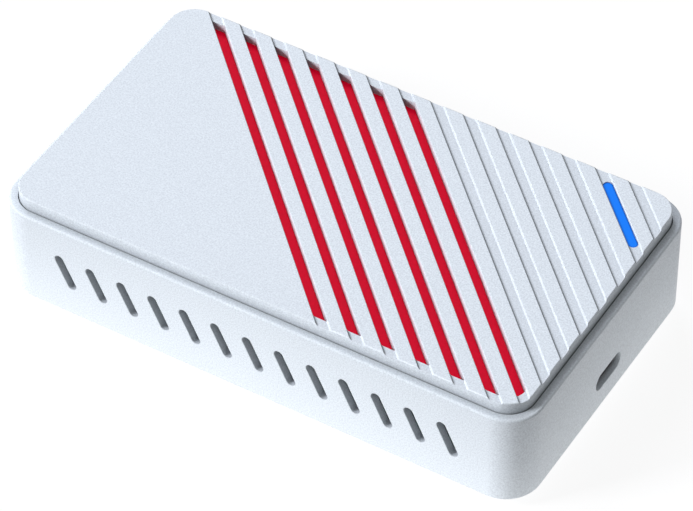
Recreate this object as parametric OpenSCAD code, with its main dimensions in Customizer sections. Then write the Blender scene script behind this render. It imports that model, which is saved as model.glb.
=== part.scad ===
// Video capture box: a moulded case with a lift-off grooved cover, a coloured panel that shows
// through seven slots, a light bar, and a main board with one data port and two video ports.
// Millimetres, +Z up. The origin is on the desk under the middle of the box, and +X points
// to the end that holds the data port.

/* [Case] */
// Length of the case, outside
case_l = 112.6; // [110:0.1:130]
// Width of the case, outside
case_w = 65.4; // [64:0.1:80]
// Height of the case wall, from the underside to the ledge
case_h = 20.8; // [20:0.1:28]
// Radius of the upright corners, outside
case_r = 7.2; // [6:0.1:10]
// Thickness of the walls, which is the width of the ledge
wall_t = 1.75; // [1.4:0.05:2.2]
// Thickness of the floor
floor_t = 2; // [1.6:0.1:3]
// Round-over of the ledge's outer edge
ledge_edge_r = 0.5; // [0.2:0.05:0.8]
// Round-over of the lower edge
base_edge_r = 0.4; // [0.2:0.05:0.8]

/* [Cover] */
// Gap between the cover and the case wall, all round
cover_gap = 0.15; // [0.1:0.05:0.4]
// Height of the cover above the ledge
cover_rise = 2.55; // [2:0.05:4]
// Thickness of the cover's top
cover_t = 2.2; // [1.8:0.1:3]
// Thickness of the skirt under the cover's edge
skirt_t = 1.3; // [1:0.1:1.5]
// Depth of the skirt below the ledge
skirt_drop = 1.6; // [1:0.1:3]
// Round-over of the cover's top edge
cover_edge_r = 0.25; // [0.1:0.05:0.4]

/* [Grooves and slots] */
// Angle between the grooves and the long side
groove_angle = 45; // [40:1:50]
// Width of a groove, at its top
groove_w = 2.35; // [1.8:0.05:3]
// Distance from groove to groove, square to them
groove_pitch = 5.01; // [4.5:0.01:5.5]
// Depth of a groove
groove_depth = 0.3; // [0.2:0.05:0.6]
// Width of each of a groove's sloping sides
groove_flank = 0.3; // [0.1:0.05:0.5]
// Where the middle of the first groove crosses the long centre line
groove_x = -16.75; // [-19:0.05:-14]
// Distance from the cover's far corner within which no groove is cut
groove_end = 4; // [3:0.1:6]
// Number of grooves that are cut through as slots
slot_n = 7; // [3:1:8]
// Width of a slot
slot_w = 2.15; // [1.4:0.05:2.4]
// Distance of a slot's ends from the cover's edge
slot_inset = 1.8; // [1.6:0.1:3]

/* [Accent panel] */
// Thickness of the panel
panel_t = 1; // [0.6:0.1:1.6]
// Overlap of the panel past the outer slots
panel_lap = 0.9; // [0.5:0.1:1.2]
// Gap between the panel and the cover's skirt
panel_gap = 0.15; // [0.1:0.05:0.3]

/* [Light bar] */
// Width of the bar
bar_w = 1.9; // [1.2:0.1:2.2]
// Distance from the bar's tips to the cover's edge, along the groove
bar_inset = 3.1; // [2.6:0.1:5]
// Depth of the bar's top below the groove's floor
bar_sink = 0.15; // [0:0.05:0.3]
// Gap round the bar in the cover
bar_fit = 0.05; // [0.03:0.01:0.1]
// Width of the flange that stops the bar under the cover
flange_w = 4.4; // [3.6:0.1:6]
// Thickness of the flange
flange_t = 1; // [0.6:0.1:1.5]
// Distance from the bar's tips to the flange's tips
flange_short = 2; // [1.5:0.1:3]
// Gap between the bar's lower edge and the lamps
lamp_gap = 0.4; // [0.2:0.1:1]
// Number of lamps
lamp_n = 3; // [2:1:4]
// Length of a lamp, along the bar
lamp_l = 3.2; // [2.4:0.1:4]
// Width of a lamp
lamp_w = 2.8; // [2:0.1:3.5]
// Height of a lamp
lamp_h = 1.8; // [1:0.1:2.5]

/* [Vents] */
// Distance from vent to vent
vent_pitch = 6.82; // [6:0.01:8]
// Width of a vent
vent_w = 1.9; // [1.2:0.1:2.4]
// Length of a vent, end to end
vent_len = 8.05; // [5:0.05:9]
// Lean of the vents from upright
vent_lean = 25; // [0:1:35]
// Height of the vents' middle above the underside
vent_z = 10.4; // [9:0.1:13]
// Least distance from the case's end to the middle of a vent
vent_end = 13; // [12:0.5:20]

/* [Main board] */
// Thickness of the board
board_t = 1.6; // [1:0.1:2]
// Gap between the case floor and the board
board_lift = 1.6; // [1.2:0.1:2.5]
// Gap between the board's edge and the case wall
board_gap = 1; // [0.6:0.1:1.5]
// Diameter of the standoffs under the board
standoff_d = 5.6; // [5:0.1:7]
// Distance of the screws from the case's ends
screw_in_x = 20.3; // [18:0.1:24]
// Distance of the screws from the case's long sides
screw_in_y = 6.7; // [6.5:0.1:7.5]
// Diameter of the screw's shank
screw_d = 2.2; // [2:0.1:2.6]
// Diameter of the screw's head
screw_head_d = 4.4; // [4:0.1:5]
// Height of the screw's head
screw_head_h = 1.5; // [1:0.1:2]
// Width of the cross in the screw's head
screw_cross_w = 0.55; // [0.4:0.05:0.8]
// Length of the cross in the screw's head
screw_cross_l = 2.2; // [1.8:0.1:3]
// Depth of the cross in the screw's head
screw_cross_d = 0.75; // [0.4:0.05:0.9]
// Depth of the screw's tip below the top of the case floor
screw_bite = 0.8; // [0.4:0.1:1]
// Gap round a shank or a peg in its bore
bore_fit = 0.05; // [0.03:0.01:0.1]

/* [Cover posts] */
// Diameter of the posts that carry the cover
post_d = 5.5; // [5:0.1:6]
// Diameter of the cover's pegs
peg_d = 2.9; // [2:0.1:3.4]
// Length of the cover's pegs
peg_l = 5; // [3:0.5:8]
// Free depth below the tip of a peg or a screw
bore_spare = 0.3; // [0.2:0.1:0.6]
// Gap round the posts in the board
post_gap = 0.6; // [0.4:0.1:1]
// Distance of the end posts from the case's ends
post_in_x = 7.5; // [7:0.1:8.5]
// Distance of the corner posts from the case's long sides
post_in_y = 8.7; // [7.5:0.1:9]
// Distance of the post beside the data port from the port's middle
port_post_y = 13; // [11:0.1:14]
// Distance of the back right post from the case's right end
back_post_x = 32.3; // [30:0.1:34]

/* [Feet] */
// Diameter of a foot
foot_d = 10; // [8:0.5:12]
// Height of the feet below the case
foot_stand = 2.4; // [1.5:0.1:3]
// Depth of the recess that a foot is stuck into
foot_seat = 0.6; // [0.4:0.1:0.8]
// Gap round a foot in its recess
foot_gap = 0.1; // [0.05:0.05:0.2]
// Slope of the foot's lower edge
foot_chamfer = 0.6; // [0.3:0.1:1]
// Distance of the feet's middles from the case's sides
foot_in = 10; // [8:0.5:14]

/* [Data port] */
// Width of the metal shell, outside
data_port_w = 8.94; // [8.9:0.01:9]
// Height of the metal shell, outside
data_port_h = 3.26; // [3.2:0.01:3.4]
// Length of the metal shell
data_port_l = 7.35; // [6.5:0.05:9]
// Thickness of the metal shell
data_port_t = 0.3; // [0.2:0.05:0.35]
// Gap round the shell in the case's opening
data_port_cut_gap = 0.25; // [0.15:0.05:0.4]
// Depth of the shell's mouth behind the case's end
data_port_recess = 1; // [0.5:0.1:1.4]
// Width of the tongue
data_port_tongue_w = 6.7; // [6:0.1:7]
// Thickness of the tongue
data_port_tongue_t = 0.7; // [0.6:0.05:0.8]
// Depth of the tongue's tip behind the shell's mouth
data_port_tongue_in = 0.8; // [0.5:0.1:1.5]

/* [Video ports] */
// Width of the metal shell, outside
video_port_w = 14.9; // [14.8:0.05:15.2]
// Height of the metal shell, outside
video_port_h = 5.5; // [5.4:0.05:5.9]
// Length of the metal shell
video_port_l = 11.4; // [10:0.1:12]
// Thickness of the metal shell
video_port_t = 0.45; // [0.3:0.05:0.5]
// Bevel of the shell's lower corners
video_port_bevel = 1.7; // [1.2:0.1:2]
// Gap round the shell in the case's opening
video_port_cut_gap = 0.3; // [0.2:0.05:0.5]
// Depth of the shell's mouth behind the case's end
video_port_recess = 0.6; // [0.3:0.1:1.2]
// Distance from one port's middle to the other's
video_port_pitch = 20; // [18:0.1:22]
// Width of the tongue
video_port_tongue_w = 11.2; // [10:0.1:12]
// Thickness of the tongue
video_port_tongue_t = 1; // [0.8:0.1:1.4]
// Depth of the tongue's tip behind the shell's mouth
video_port_tongue_in = 2.6; // [1.5:0.1:3]
// Length of the plastic block at the back of either port's shell
port_base_l = 2.4; // [1.5:0.1:3]
// Gap between that block and the shell
port_fit = 0.05; // [0.03:0.01:0.1]

/* [Heat sink] */
// Middle of the video chip along the case
chip_x = -2; // [-4:0.5:0]
// Side of the square video chip
video_chip_w = 21; // [15:0.5:23]
// Height of the video chip
video_chip_h = 1.4; // [1:0.1:2]
// Thickness of the thermal pad
pad_t = 0.8; // [0.5:0.1:1.5]
// Side of the square heat sink
sink_w = 36; // [34:0.5:37]
// Thickness of the heat sink's base
sink_base_t = 2; // [1.5:0.1:3]
// Height of the heat sink
sink_h = 9; // [6:0.5:10]
// Number of fins
fin_n = 10; // [6:1:12]
// Thickness of a fin
fin_t = 1.1; // [0.8:0.1:1.5]
// Distance of the push pins from the sink's sides
pin_in = 3.6; // [3.4:0.1:5]
// Diameter of a push pin's shank
pin_d = 2.6; // [2:0.1:3]
// Diameter of a push pin's head
pin_head_d = 4.6; // [4:0.1:5.5]
// Height of a push pin's head
pin_head_h = 1.2; // [0.8:0.1:1.5]
// Widening of a push pin's barb past the board's hole
pin_barb = 0.35; // [0.2:0.05:0.5]
// Gap between the barb and the case floor
barb_gap = 0.4; // [0.2:0.1:0.6]
// Gap between a push pin's head and the fins
fin_clear = 0.8; // [0.5:0.1:1.5]

/* [Board components] */
// Gap between neighbouring components along the board
part_gap = 2; // [1.5:0.1:3]
// Length of a memory chip, along the case
memory_l = 9; // [7:0.5:10]
// Width of a memory chip
memory_w = 13; // [10:0.5:14]
// Height of a memory chip
memory_h = 1.1; // [0.8:0.1:1.4]
// Distance between the middles of the memory chips
memory_pitch = 19; // [17:0.5:22]
// Side of the square receiver chip
receiver_w = 12; // [9:0.5:13]
// Side of the square splitter chip
splitter_w = 9; // [8:0.5:13]
// Height of the receiver and splitter chips
leaded_h = 1.2; // [1:0.1:1.6]
// Number of leads on one side of those chips
lead_n = 12; // [8:1:14]
// Width of a lead
lead_w = 0.3; // [0.2:0.05:0.4]
// Length of a lead
lead_l = 0.9; // [0.5:0.1:1.2]
// Thickness of a lead
lead_t = 0.2; // [0.15:0.05:0.3]
// Side of the square data chip
data_chip_w = 8; // [6:0.5:9]
// Height of the data chip
data_chip_h = 0.9; // [0.7:0.1:1.2]
// Length of the flash chip, along the case
flash_l = 5; // [4:0.5:6]
// Width of the flash chip
flash_w = 6; // [5:0.5:7]
// Height of the flash chip
flash_h = 1.6; // [1:0.1:2]
// Side of a square power inductor
inductor_w = 6.6; // [5:0.1:7]
// Height of a power inductor
inductor_h = 3; // [2:0.1:4]
// Radius of an inductor's upright corners
inductor_r = 1.1; // [0.5:0.1:1.5]
// Width of an inductor's terminals
terminal_w = 2.2; // [1.5:0.1:3]
// Height of an inductor's terminals
terminal_h = 1; // [0.5:0.1:1.5]
// Thickness of an inductor's terminals
terminal_t = 0.2; // [0.1:0.05:0.3]
// Number of power inductors
inductor_n = 3; // [2:1:4]
// Diameter of a bulk capacitor's can
can_d = 6.3; // [5:0.1:6.8]
// Height of a bulk capacitor, foot and can
can_h = 5.8; // [4:0.1:7]
// Side of the square foot under the can
can_foot_w = 6.6; // [6:0.1:7]
// Thickness of that foot
can_foot_t = 0.9; // [0.6:0.1:1.2]
// Number of bulk capacitors
capacitor_n = 4; // [2:1:4]
// Length of a ceramic capacitor, along the case
ceramic_l = 0.9; // [0.6:0.1:1.4]
// Width of a ceramic capacitor
ceramic_w = 1.7; // [1.2:0.1:2]
// Height of a ceramic capacitor
ceramic_h = 0.9; // [0.5:0.1:1.2]
// Number of ceramic capacitors in a row
ceramic_n = 8; // [4:1:10]
// Length of a crystal, along the case
crystal_l = 3.2; // [2.5:0.1:4]
// Width of a crystal
crystal_w = 2.5; // [2:0.1:3]
// Height of a crystal
crystal_h = 0.9; // [0.6:0.1:1.2]

/* [Hidden] */
$fn = 64;

// Heights above the desk
base_z = foot_stand;
floor_z = base_z + floor_t;
board_low_z = floor_z + board_lift;
board_z = board_low_z + board_t;
ledge_z = base_z + case_h;
cover_z = ledge_z + cover_rise;
skin_z = cover_z - cover_t;
skirt_z = ledge_z - skirt_drop;
sink_z = board_z + video_chip_h + pad_t;
data_port_z = board_z + data_port_h/2;
video_port_z = board_z + video_port_h/2;

// Inside of the case, the cover, the pocket under the cover, and the board
room_l = case_l - 2*wall_t;
room_w = case_w - 2*wall_t;
room_r = case_r - wall_t;
cover_l = room_l - 2*cover_gap;
cover_w = room_w - 2*cover_gap;
cover_r = room_r - cover_gap;
pocket_l = cover_l - 2*skirt_t;
pocket_w = cover_w - 2*skirt_t;
pocket_r = cover_r - skirt_t;
board_l = room_l - 2*board_gap;
board_w = room_w - 2*board_gap;
board_r = room_r - board_gap;

// Grooves lie across the turned Y axis, and run along the turned X axis
groove_t0 = groove_x*sin(groove_angle);
groove_t_max = cover_l/2*sin(groove_angle) + cover_w/2*cos(groove_angle) - groove_end;
groove_n = floor((groove_t_max - groove_t0)/groove_pitch) + 1;
function groove_t(i) = groove_t0 + i*groove_pitch;

// The light bar lies in the last groove but one, midway between the cover's two edges
bar_t = groove_t(groove_n - 2);
bar_back = (bar_t*cos(groove_angle) - cover_w/2)/sin(groove_angle);
bar_front = (cover_l/2 - bar_t*sin(groove_angle))/cos(groove_angle);
bar_mid = (bar_back + bar_front)/2;
bar_l = bar_front - bar_back - 2*bar_inset;
bar_low_z = board_z + lamp_h + lamp_gap;
bar_z = cover_z - groove_depth - bar_sink;

// Places on the board
posts = [[post_in_x - case_l/2, post_in_y - case_w/2], [post_in_x - case_l/2, case_w/2 - post_in_y],
    [case_l/2 - post_in_x, -port_post_y], [case_l/2 - back_post_x, case_w/2 - post_in_y]];
screws = [for (sx = [-1, 1], sy = [-1, 1]) [sx*(case_l/2 - screw_in_x), sy*(case_w/2 - screw_in_y)]];
feet = [for (sx = [-1, 1], sy = [-1, 1]) [sx*(case_l/2 - foot_in), sy*(case_w/2 - foot_in)]];
pin_off = sink_w/2 - pin_in;
pins = [for (s = [-1, 1]) [chip_x + s*pin_off, -s*pin_off]];
vent_n = 2*floor((case_l/2 - vent_end)/vent_pitch) + 1;
data_mouth_x = case_l/2 - data_port_recess;
video_mouth_x = video_port_recess - case_l/2;
sink_left = chip_x - sink_w/2;
sink_right = chip_x + sink_w/2;
memory_x = sink_right + part_gap + memory_l/2;
ceramic_right_x = memory_x + (memory_l + ceramic_l)/2 + part_gap/2;
data_chip_x = data_mouth_x - data_port_l - part_gap - data_chip_w/2;
receiver_x = sink_left - part_gap - lead_l - receiver_w/2;
ceramic_left_x = video_mouth_x + video_port_l + part_gap + ceramic_l/2;
strip_y = (sink_w/2 + board_w/2)/2;
past_cut = 1;

// Flat outlines

module rounded_rect(l, w, r) {
    square([l - 2*r, w], center = true);
    square([l, w - 2*r], center = true);
    for (sx = [-1, 1], sy = [-1, 1])
        translate([sx*(l/2 - r), sy*(w/2 - r)]) circle(r);
}

// Bar with round ends, lying along X
module stadium(l, w) {
    square([l - w, w], center = true);
    for (s = [-1, 1]) translate([s*(l - w)/2, 0]) circle(w/2);
}

// Box with its two lower corners bevelled, as a video port's shell is
module bevelled_box(w, h, c) {
    polygon([[-w/2, h/2], [-w/2, c - h/2], [c - w/2, -h/2], [w/2 - c, -h/2], [w/2, c - h/2], [w/2, h/2]]);
}

// What a round-over of radius r takes off a corner at the origin's far side
module corner_waste(r) {
    difference() {
        square(r + past_cut);
        circle(r);
    }
}

// Half section of a block with a rounded outer edge above and, where low_r isn't 0, below
module edge_section(r, h, top_r, low_r) {
    difference() {
        square([r, h]);
        translate([r - top_r, h - top_r]) corner_waste(top_r);
        if (low_r > 0) translate([r - low_r, low_r]) mirror([0, 1]) corner_waste(low_r);
    }
}

// Solid forms that repeat

module rounded_prism(l, w, r, h) {
    linear_extrude(h) rounded_rect(l, w, r);
}

// Rounded prism with its outer edges rounded over: four corners, four sides and a core
module soft_prism(l, w, r, h, top_r, low_r) {
    translate([r - l/2, r - w/2, 0]) cube([l - 2*r, w - 2*r, h]);
    for (k = [0:3]) {
        run = k % 2 == 0 ? w : l;
        reach = k % 2 == 0 ? l : w;
        rotate([0, 0, 90*k]) translate([reach/2 - r, run/2 - r, 0]) {
            rotate_extrude(angle = 90) edge_section(r, h, top_r, low_r);
            rotate([90, 0, 0]) linear_extrude(run - 2*r) edge_section(r, h, top_r, low_r);
        }
    }
}

// Block that stands on the board, centred on its place
module block(x, y, size, z = board_z) {
    translate([x - size[0]/2, y - size[1]/2, z]) cube(size);
}

// Extrusion along X of an outline that faces the case's end, starting at x
module along_x(x, y, z, l) {
    translate([x, y, z]) rotate([90, 0, 90]) linear_extrude(l) children();
}

module at_each(places, z) {
    for (p = places) translate([p[0], p[1], z]) children();
}

// Turned frame of the grooves: X along a groove, Y across them
module along_groove() {
    rotate([0, 0, -groove_angle]) children();
}

// Groove with sloping sides, cut down into the cover's top
module groove_cut(i) {
    foot = groove_w/2 - groove_flank;
    brim = foot + groove_flank*(groove_depth + past_cut)/groove_depth;
    along_groove() along_x(-case_l, groove_t(i), cover_z, 2*case_l)
        polygon([[-brim, past_cut], [-foot, -groove_depth], [foot, -groove_depth], [brim, past_cut]]);
}

// Straight strip as wide as a slot
module slot_strip(i, z, h) {
    along_groove() translate([-case_l, groove_t(i) - slot_w/2, z]) cube([2*case_l, slot_w, h]);
}

// Case and feet

module vent_cuts() {
    for (i = [0:vent_n - 1])
        translate([(i - (vent_n - 1)/2)*vent_pitch, 0, base_z + vent_z])
            rotate([90, 90 - vent_lean, 0])
                linear_extrude(case_w + 2*past_cut, center = true) stadium(vent_len, vent_w);
}

module data_port_cut() {
    along_x(case_l/2 - wall_t - past_cut, 0, data_port_z, wall_t + 2*past_cut)
        stadium(data_port_w + 2*data_port_cut_gap, data_port_h + 2*data_port_cut_gap);
}

module video_port_cut(side) {
    along_x(-case_l/2 - past_cut, side*video_port_pitch/2, video_port_z, wall_t + 2*past_cut)
        bevelled_box(video_port_w + 2*video_port_cut_gap, video_port_h + 2*video_port_cut_gap,
            video_port_bevel);
}

module case_shell() {
    difference() {
        translate([0, 0, base_z]) soft_prism(case_l, case_w, case_r, case_h, ledge_edge_r, base_edge_r);
        translate([0, 0, floor_z]) rounded_prism(room_l, room_w, room_r, case_h);
        vent_cuts();
        data_port_cut();
        for (side = [-1, 1]) video_port_cut(side);
        at_each(feet, base_z - past_cut) cylinder(d = foot_d + 2*foot_gap, h = foot_seat + past_cut);
    }
}

module lower_case() {
    color("white") difference() {
        union() {
            case_shell();
            at_each(posts, floor_z) cylinder(d = post_d, h = skin_z - floor_z);
            at_each(screws, floor_z) cylinder(d = standoff_d, h = board_lift);
        }
        at_each(posts, skin_z - peg_l - bore_spare)
            cylinder(d = peg_d + 2*bore_fit, h = peg_l + bore_spare + past_cut);
        at_each(screws, floor_z - screw_bite - bore_spare)
            cylinder(d = screw_d + 2*bore_fit, h = board_lift + screw_bite + bore_spare + past_cut);
    }
}

module rubber_feet() {
    color("dimgray") at_each(feet, 0) {
        cylinder(d1 = foot_d - 2*foot_chamfer, d2 = foot_d, h = foot_chamfer);
        translate([0, 0, foot_chamfer]) cylinder(d = foot_d, h = foot_stand + foot_seat - foot_chamfer);
    }
}

// Cover and what it carries

module cover_blank() {
    difference() {
        translate([0, 0, skirt_z]) soft_prism(cover_l, cover_w, cover_r, cover_z - skirt_z, cover_edge_r, 0);
        translate([0, 0, skirt_z - past_cut])
            rounded_prism(pocket_l, pocket_w, pocket_r, skin_z - skirt_z + past_cut);
    }
}

module bar_outline(grow) {
    translate([bar_mid, bar_t]) stadium(bar_l + 2*grow, bar_w + 2*grow);
}

module top_cover() {
    cut_h = cover_z - skirt_z + past_cut;
    color("white") {
        difference() {
            cover_blank();
            for (i = [0:groove_n - 1]) groove_cut(i);
            intersection() {
                union() for (i = [0:slot_n - 1]) slot_strip(i, skirt_z, cut_h);
                translate([0, 0, skirt_z]) rounded_prism(cover_l - 2*slot_inset, cover_w - 2*slot_inset,
                    cover_r - slot_inset, cut_h);
            }
            along_groove() translate([0, 0, skirt_z]) linear_extrude(cut_h) bar_outline(bar_fit);
        }
        at_each(posts, skin_z - peg_l) cylinder(d = peg_d, h = peg_l);
    }
}

module accent_panel() {
    inset = skirt_t + panel_gap;
    low_t = groove_t(0) - slot_w/2 - panel_lap;
    high_t = groove_t(slot_n - 1) + slot_w/2 + panel_lap;
    color("crimson") difference() {
        intersection() {
            translate([0, 0, skin_z - panel_t])
                rounded_prism(cover_l - 2*inset, cover_w - 2*inset, cover_r - inset, panel_t);
            along_groove() translate([-case_l, low_t, skirt_z]) cube([2*case_l, high_t - low_t, cover_z]);
        }
        at_each(posts, floor_z) cylinder(d = post_d + 2*panel_gap, h = case_h);
    }
}

module light_bar() {
    color("dodgerblue") along_groove() {
        translate([0, 0, bar_low_z]) linear_extrude(bar_z - bar_low_z) bar_outline(0);
        translate([bar_mid, bar_t, skin_z - flange_t])
            linear_extrude(flange_t) stadium(bar_l - 2*flange_short, flange_w);
    }
}

// Board and its fasteners

module main_board() {
    color("darkgreen") difference() {
        translate([0, 0, board_low_z]) rounded_prism(board_l, board_w, board_r, board_t);
        at_each(posts, floor_z) cylinder(d = post_d + 2*post_gap, h = case_h);
        at_each(screws, floor_z) cylinder(d = screw_d + 2*bore_fit, h = case_h);
        at_each(pins, floor_z) cylinder(d = pin_d + 2*bore_fit, h = case_h);
    }
}

module board_screws() {
    color("silver") at_each(screws, board_z) difference() {
        union() {
            translate([0, 0, -board_t - board_lift - screw_bite])
                cylinder(d = screw_d, h = board_t + board_lift + screw_bite);
            cylinder(d = screw_head_d, h = screw_head_h);
        }
        for (a = [0, 90]) rotate([0, 0, a])
            translate([-screw_cross_l/2, -screw_cross_w/2, screw_head_h - screw_cross_d])
                cube([screw_cross_l, screw_cross_w, screw_head_h]);
    }
}

// Ports

module data_shell() {
    color("silver") along_x(data_mouth_x - data_port_l, 0, data_port_z, data_port_l) difference() {
        stadium(data_port_w, data_port_h);
        stadium(data_port_w - 2*data_port_t, data_port_h - 2*data_port_t);
    }
}

module data_insert() {
    gap = data_port_t + port_fit;
    color("black") {
        along_x(data_mouth_x - data_port_l, 0, data_port_z, port_base_l)
            stadium(data_port_w - 2*gap, data_port_h - 2*gap);
        along_x(data_mouth_x - data_port_l, 0, data_port_z, data_port_l - data_port_tongue_in)
            square([data_port_tongue_w, data_port_tongue_t], center = true);
    }
}

module video_shell(side) {
    inner_bevel = video_port_bevel - video_port_t*(2 - sqrt(2));
    y = side*video_port_pitch/2;
    color("silver") along_x(video_mouth_x, y, video_port_z, video_port_l) difference() {
        bevelled_box(video_port_w, video_port_h, video_port_bevel);
        bevelled_box(video_port_w - 2*video_port_t, video_port_h - 2*video_port_t, inner_bevel);
    }
}

module video_insert(side) {
    gap = video_port_t + port_fit;
    inner_bevel = video_port_bevel - gap*(2 - sqrt(2));
    y = side*video_port_pitch/2;
    color("black") {
        along_x(video_mouth_x + video_port_l - port_base_l, y, video_port_z, port_base_l)
            bevelled_box(video_port_w - 2*gap, video_port_h - 2*gap, inner_bevel);
        along_x(video_mouth_x + video_port_tongue_in, y, video_port_z, video_port_l - video_port_tongue_in)
            square([video_port_tongue_w, video_port_tongue_t], center = true);
    }
}

module input_shell() { video_shell(-1); }
module input_insert() { video_insert(-1); }
module output_shell() { video_shell(1); }
module output_insert() { video_insert(1); }

// Video chip and cooling

module video_chip() {
    color("dimgray") block(chip_x, 0, [video_chip_w, video_chip_w, video_chip_h]);
}

module thermal_pad() {
    color("lightblue") block(chip_x, 0, [video_chip_w, video_chip_w, pad_t], board_z + video_chip_h);
}

module heat_sink() {
    fin_pitch = (sink_w - fin_t)/(fin_n - 1);
    color("gainsboro") difference() {
        union() {
            block(chip_x, 0, [sink_w, sink_w, sink_base_t], sink_z);
            for (i = [0:fin_n - 1])
                block(chip_x, (i - (fin_n - 1)/2)*fin_pitch, [sink_w, fin_t, sink_h], sink_z);
        }
        at_each(pins, board_z) cylinder(d = pin_d + 2*bore_fit, h = case_h);
        at_each(pins, sink_z + sink_base_t) cylinder(d = pin_head_d + 2*fin_clear, h = sink_h);
    }
}

module sink_pins() {
    barb_h = board_lift - barb_gap;
    shank_h = sink_z + sink_base_t - board_low_z;
    color("whitesmoke") at_each(pins, board_low_z) {
        translate([0, 0, -barb_h]) cylinder(d1 = pin_d, d2 = pin_d + 2*bore_fit + 2*pin_barb, h = barb_h);
        cylinder(d = pin_d, h = shank_h);
        translate([0, 0, shank_h]) cylinder(d = pin_head_d, h = pin_head_h);
    }
}

// Other components on the board

module memory_chips() {
    color("black") for (s = [-1, 1]) block(memory_x, s*memory_pitch/2, [memory_l, memory_w, memory_h]);
}

// Square chip with a row of leads on each side
module leaded_chip(x, y, side) {
    lead_pitch = side/(lead_n + 1);
    color("black") {
        block(x, y, [side, side, leaded_h]);
        for (a = [0, 90], i = [1:lead_n]) translate([x, y, board_z]) rotate([0, 0, a])
            block(0, i*lead_pitch - side/2, [side + 2*lead_l, lead_w, lead_t], 0);
    }
}

module receiver_chip() { leaded_chip(receiver_x, -video_port_pitch/2, receiver_w); }
module splitter_chip() { leaded_chip(receiver_x, video_port_pitch/2, splitter_w); }

module data_chip() {
    color("black") block(data_chip_x, 0, [data_chip_w, data_chip_w, data_chip_h]);
}

module flash_chip() {
    color("black") block(memory_x, -strip_y, [flash_l, flash_w, flash_h]);
}

module power_inductors() {
    pitch = inductor_w + 2*part_gap;
    color("dimgray") for (i = [0:inductor_n - 1])
        translate([chip_x + (i - (inductor_n - 1)/2)*pitch, -strip_y, board_z]) {
            rounded_prism(inductor_w, inductor_w, inductor_r, inductor_h);
            block(0, 0, [inductor_w + 2*terminal_t, terminal_w, terminal_h], 0);
        }
}

module bulk_capacitors() {
    pitch = can_foot_w + part_gap;
    color("silver") for (i = [0:capacitor_n - 1])
        translate([chip_x + (i - (capacitor_n - 1)/2)*pitch, strip_y, board_z]) {
            block(0, 0, [can_foot_w, can_foot_w, can_foot_t], 0);
            cylinder(d = can_d, h = can_h);
        }
}

module ceramic_capacitors() {
    pitch = ceramic_w + part_gap;
    color("tan") for (x = [ceramic_left_x, ceramic_right_x], i = [0:ceramic_n - 1])
        block(x, (i - (ceramic_n - 1)/2)*pitch, [ceramic_l, ceramic_w, ceramic_h]);
}

module crystals() {
    size = [crystal_l, crystal_w, crystal_h];
    off_y = (data_chip_w + crystal_w)/2 + part_gap;
    color("silver") {
        block(receiver_x, 0, size);
        block(data_chip_x, -off_y, size);
    }
}

module status_lamps() {
    color("aliceblue") along_groove() for (i = [0:lamp_n - 1])
        block(bar_mid + (i - (lamp_n - 1)/2)*bar_l/lamp_n, bar_t, [lamp_l, lamp_w, lamp_h]);
}

lower_case();
top_cover();
accent_panel();
light_bar();
main_board();
board_screws();
rubber_feet();
data_shell();
data_insert();
input_shell();
input_insert();
output_shell();
output_insert();
video_chip();
thermal_pad();
heat_sink();
sink_pins();
memory_chips();
receiver_chip();
splitter_chip();
data_chip();
flash_chip();
power_inductors();
bulk_capacitors();
ceramic_capacitors();
crystals();
status_lamps();
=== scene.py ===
"""Looks of a desk-top video capture box, laid out as an add-on and run as a script.

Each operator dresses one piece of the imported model, or a group of like pieces. The last one sets the stage.
"""

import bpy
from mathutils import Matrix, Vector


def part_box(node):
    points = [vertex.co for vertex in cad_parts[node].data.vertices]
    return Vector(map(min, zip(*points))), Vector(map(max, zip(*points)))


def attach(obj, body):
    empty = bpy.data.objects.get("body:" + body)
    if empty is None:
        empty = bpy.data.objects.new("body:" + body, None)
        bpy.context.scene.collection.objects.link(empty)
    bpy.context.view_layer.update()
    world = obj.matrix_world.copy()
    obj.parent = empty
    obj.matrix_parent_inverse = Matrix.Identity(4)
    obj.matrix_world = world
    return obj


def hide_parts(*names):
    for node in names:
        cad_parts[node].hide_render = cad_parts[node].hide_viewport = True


bl_info = {
    "name": "Video Capture Box",
    "version": (1, 0, 0),
    "blender": (4, 5, 0),
    "location": "3D View > Sidebar > Capture Box",
    "description": "Dresses the pieces of a video capture box and sets the stage round it",
    "category": "Object",
}

import math

import bmesh
import bpy
from bpy.props import FloatProperty, FloatVectorProperty, PointerProperty
from mathutils import Matrix, Vector

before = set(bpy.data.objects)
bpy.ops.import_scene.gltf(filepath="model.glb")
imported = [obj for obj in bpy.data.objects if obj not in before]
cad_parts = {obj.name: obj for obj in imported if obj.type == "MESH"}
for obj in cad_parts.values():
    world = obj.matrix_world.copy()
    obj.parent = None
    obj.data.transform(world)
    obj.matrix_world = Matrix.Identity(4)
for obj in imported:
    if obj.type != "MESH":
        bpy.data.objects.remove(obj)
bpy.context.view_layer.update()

MM = 0.001

# Mesh tolerances: points closer than MERGE are one point, faces flatter than FLAT are one face,
# and an edge sharper than SHARP is a real edge of the piece
MERGE = 0.002 * MM
FLAT = math.radians(0.5)
SHARP = math.radians(35)

# The cover's grooves and the light bar run along this heading, turned from the long side
GROOVE_TURN = math.radians(-45)
# Depth of the cover's grooves
GROOVE_DEPTH = 0.3 * MM
# Thickness of the case's walls
WALL = 1.75 * MM


def linear(hex_colour):
    """Linear red, green, blue and alpha of an sRGB hex colour."""
    parts = [int(hex_colour[i:i + 2], 16) / 255 for i in (0, 2, 4)]
    return tuple(c / 12.92 if c <= 0.04045 else ((c + 0.055) / 1.055) ** 2.4 for c in parts) + (1.0,)


def size_setting(name, description, millimetres):
    """A length that a user can change, given in millimetres and kept in metres."""
    return FloatProperty(name=name, description=description, default=millimetres * MM, min=0.0, precision=5,
                         unit="LENGTH")


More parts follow.
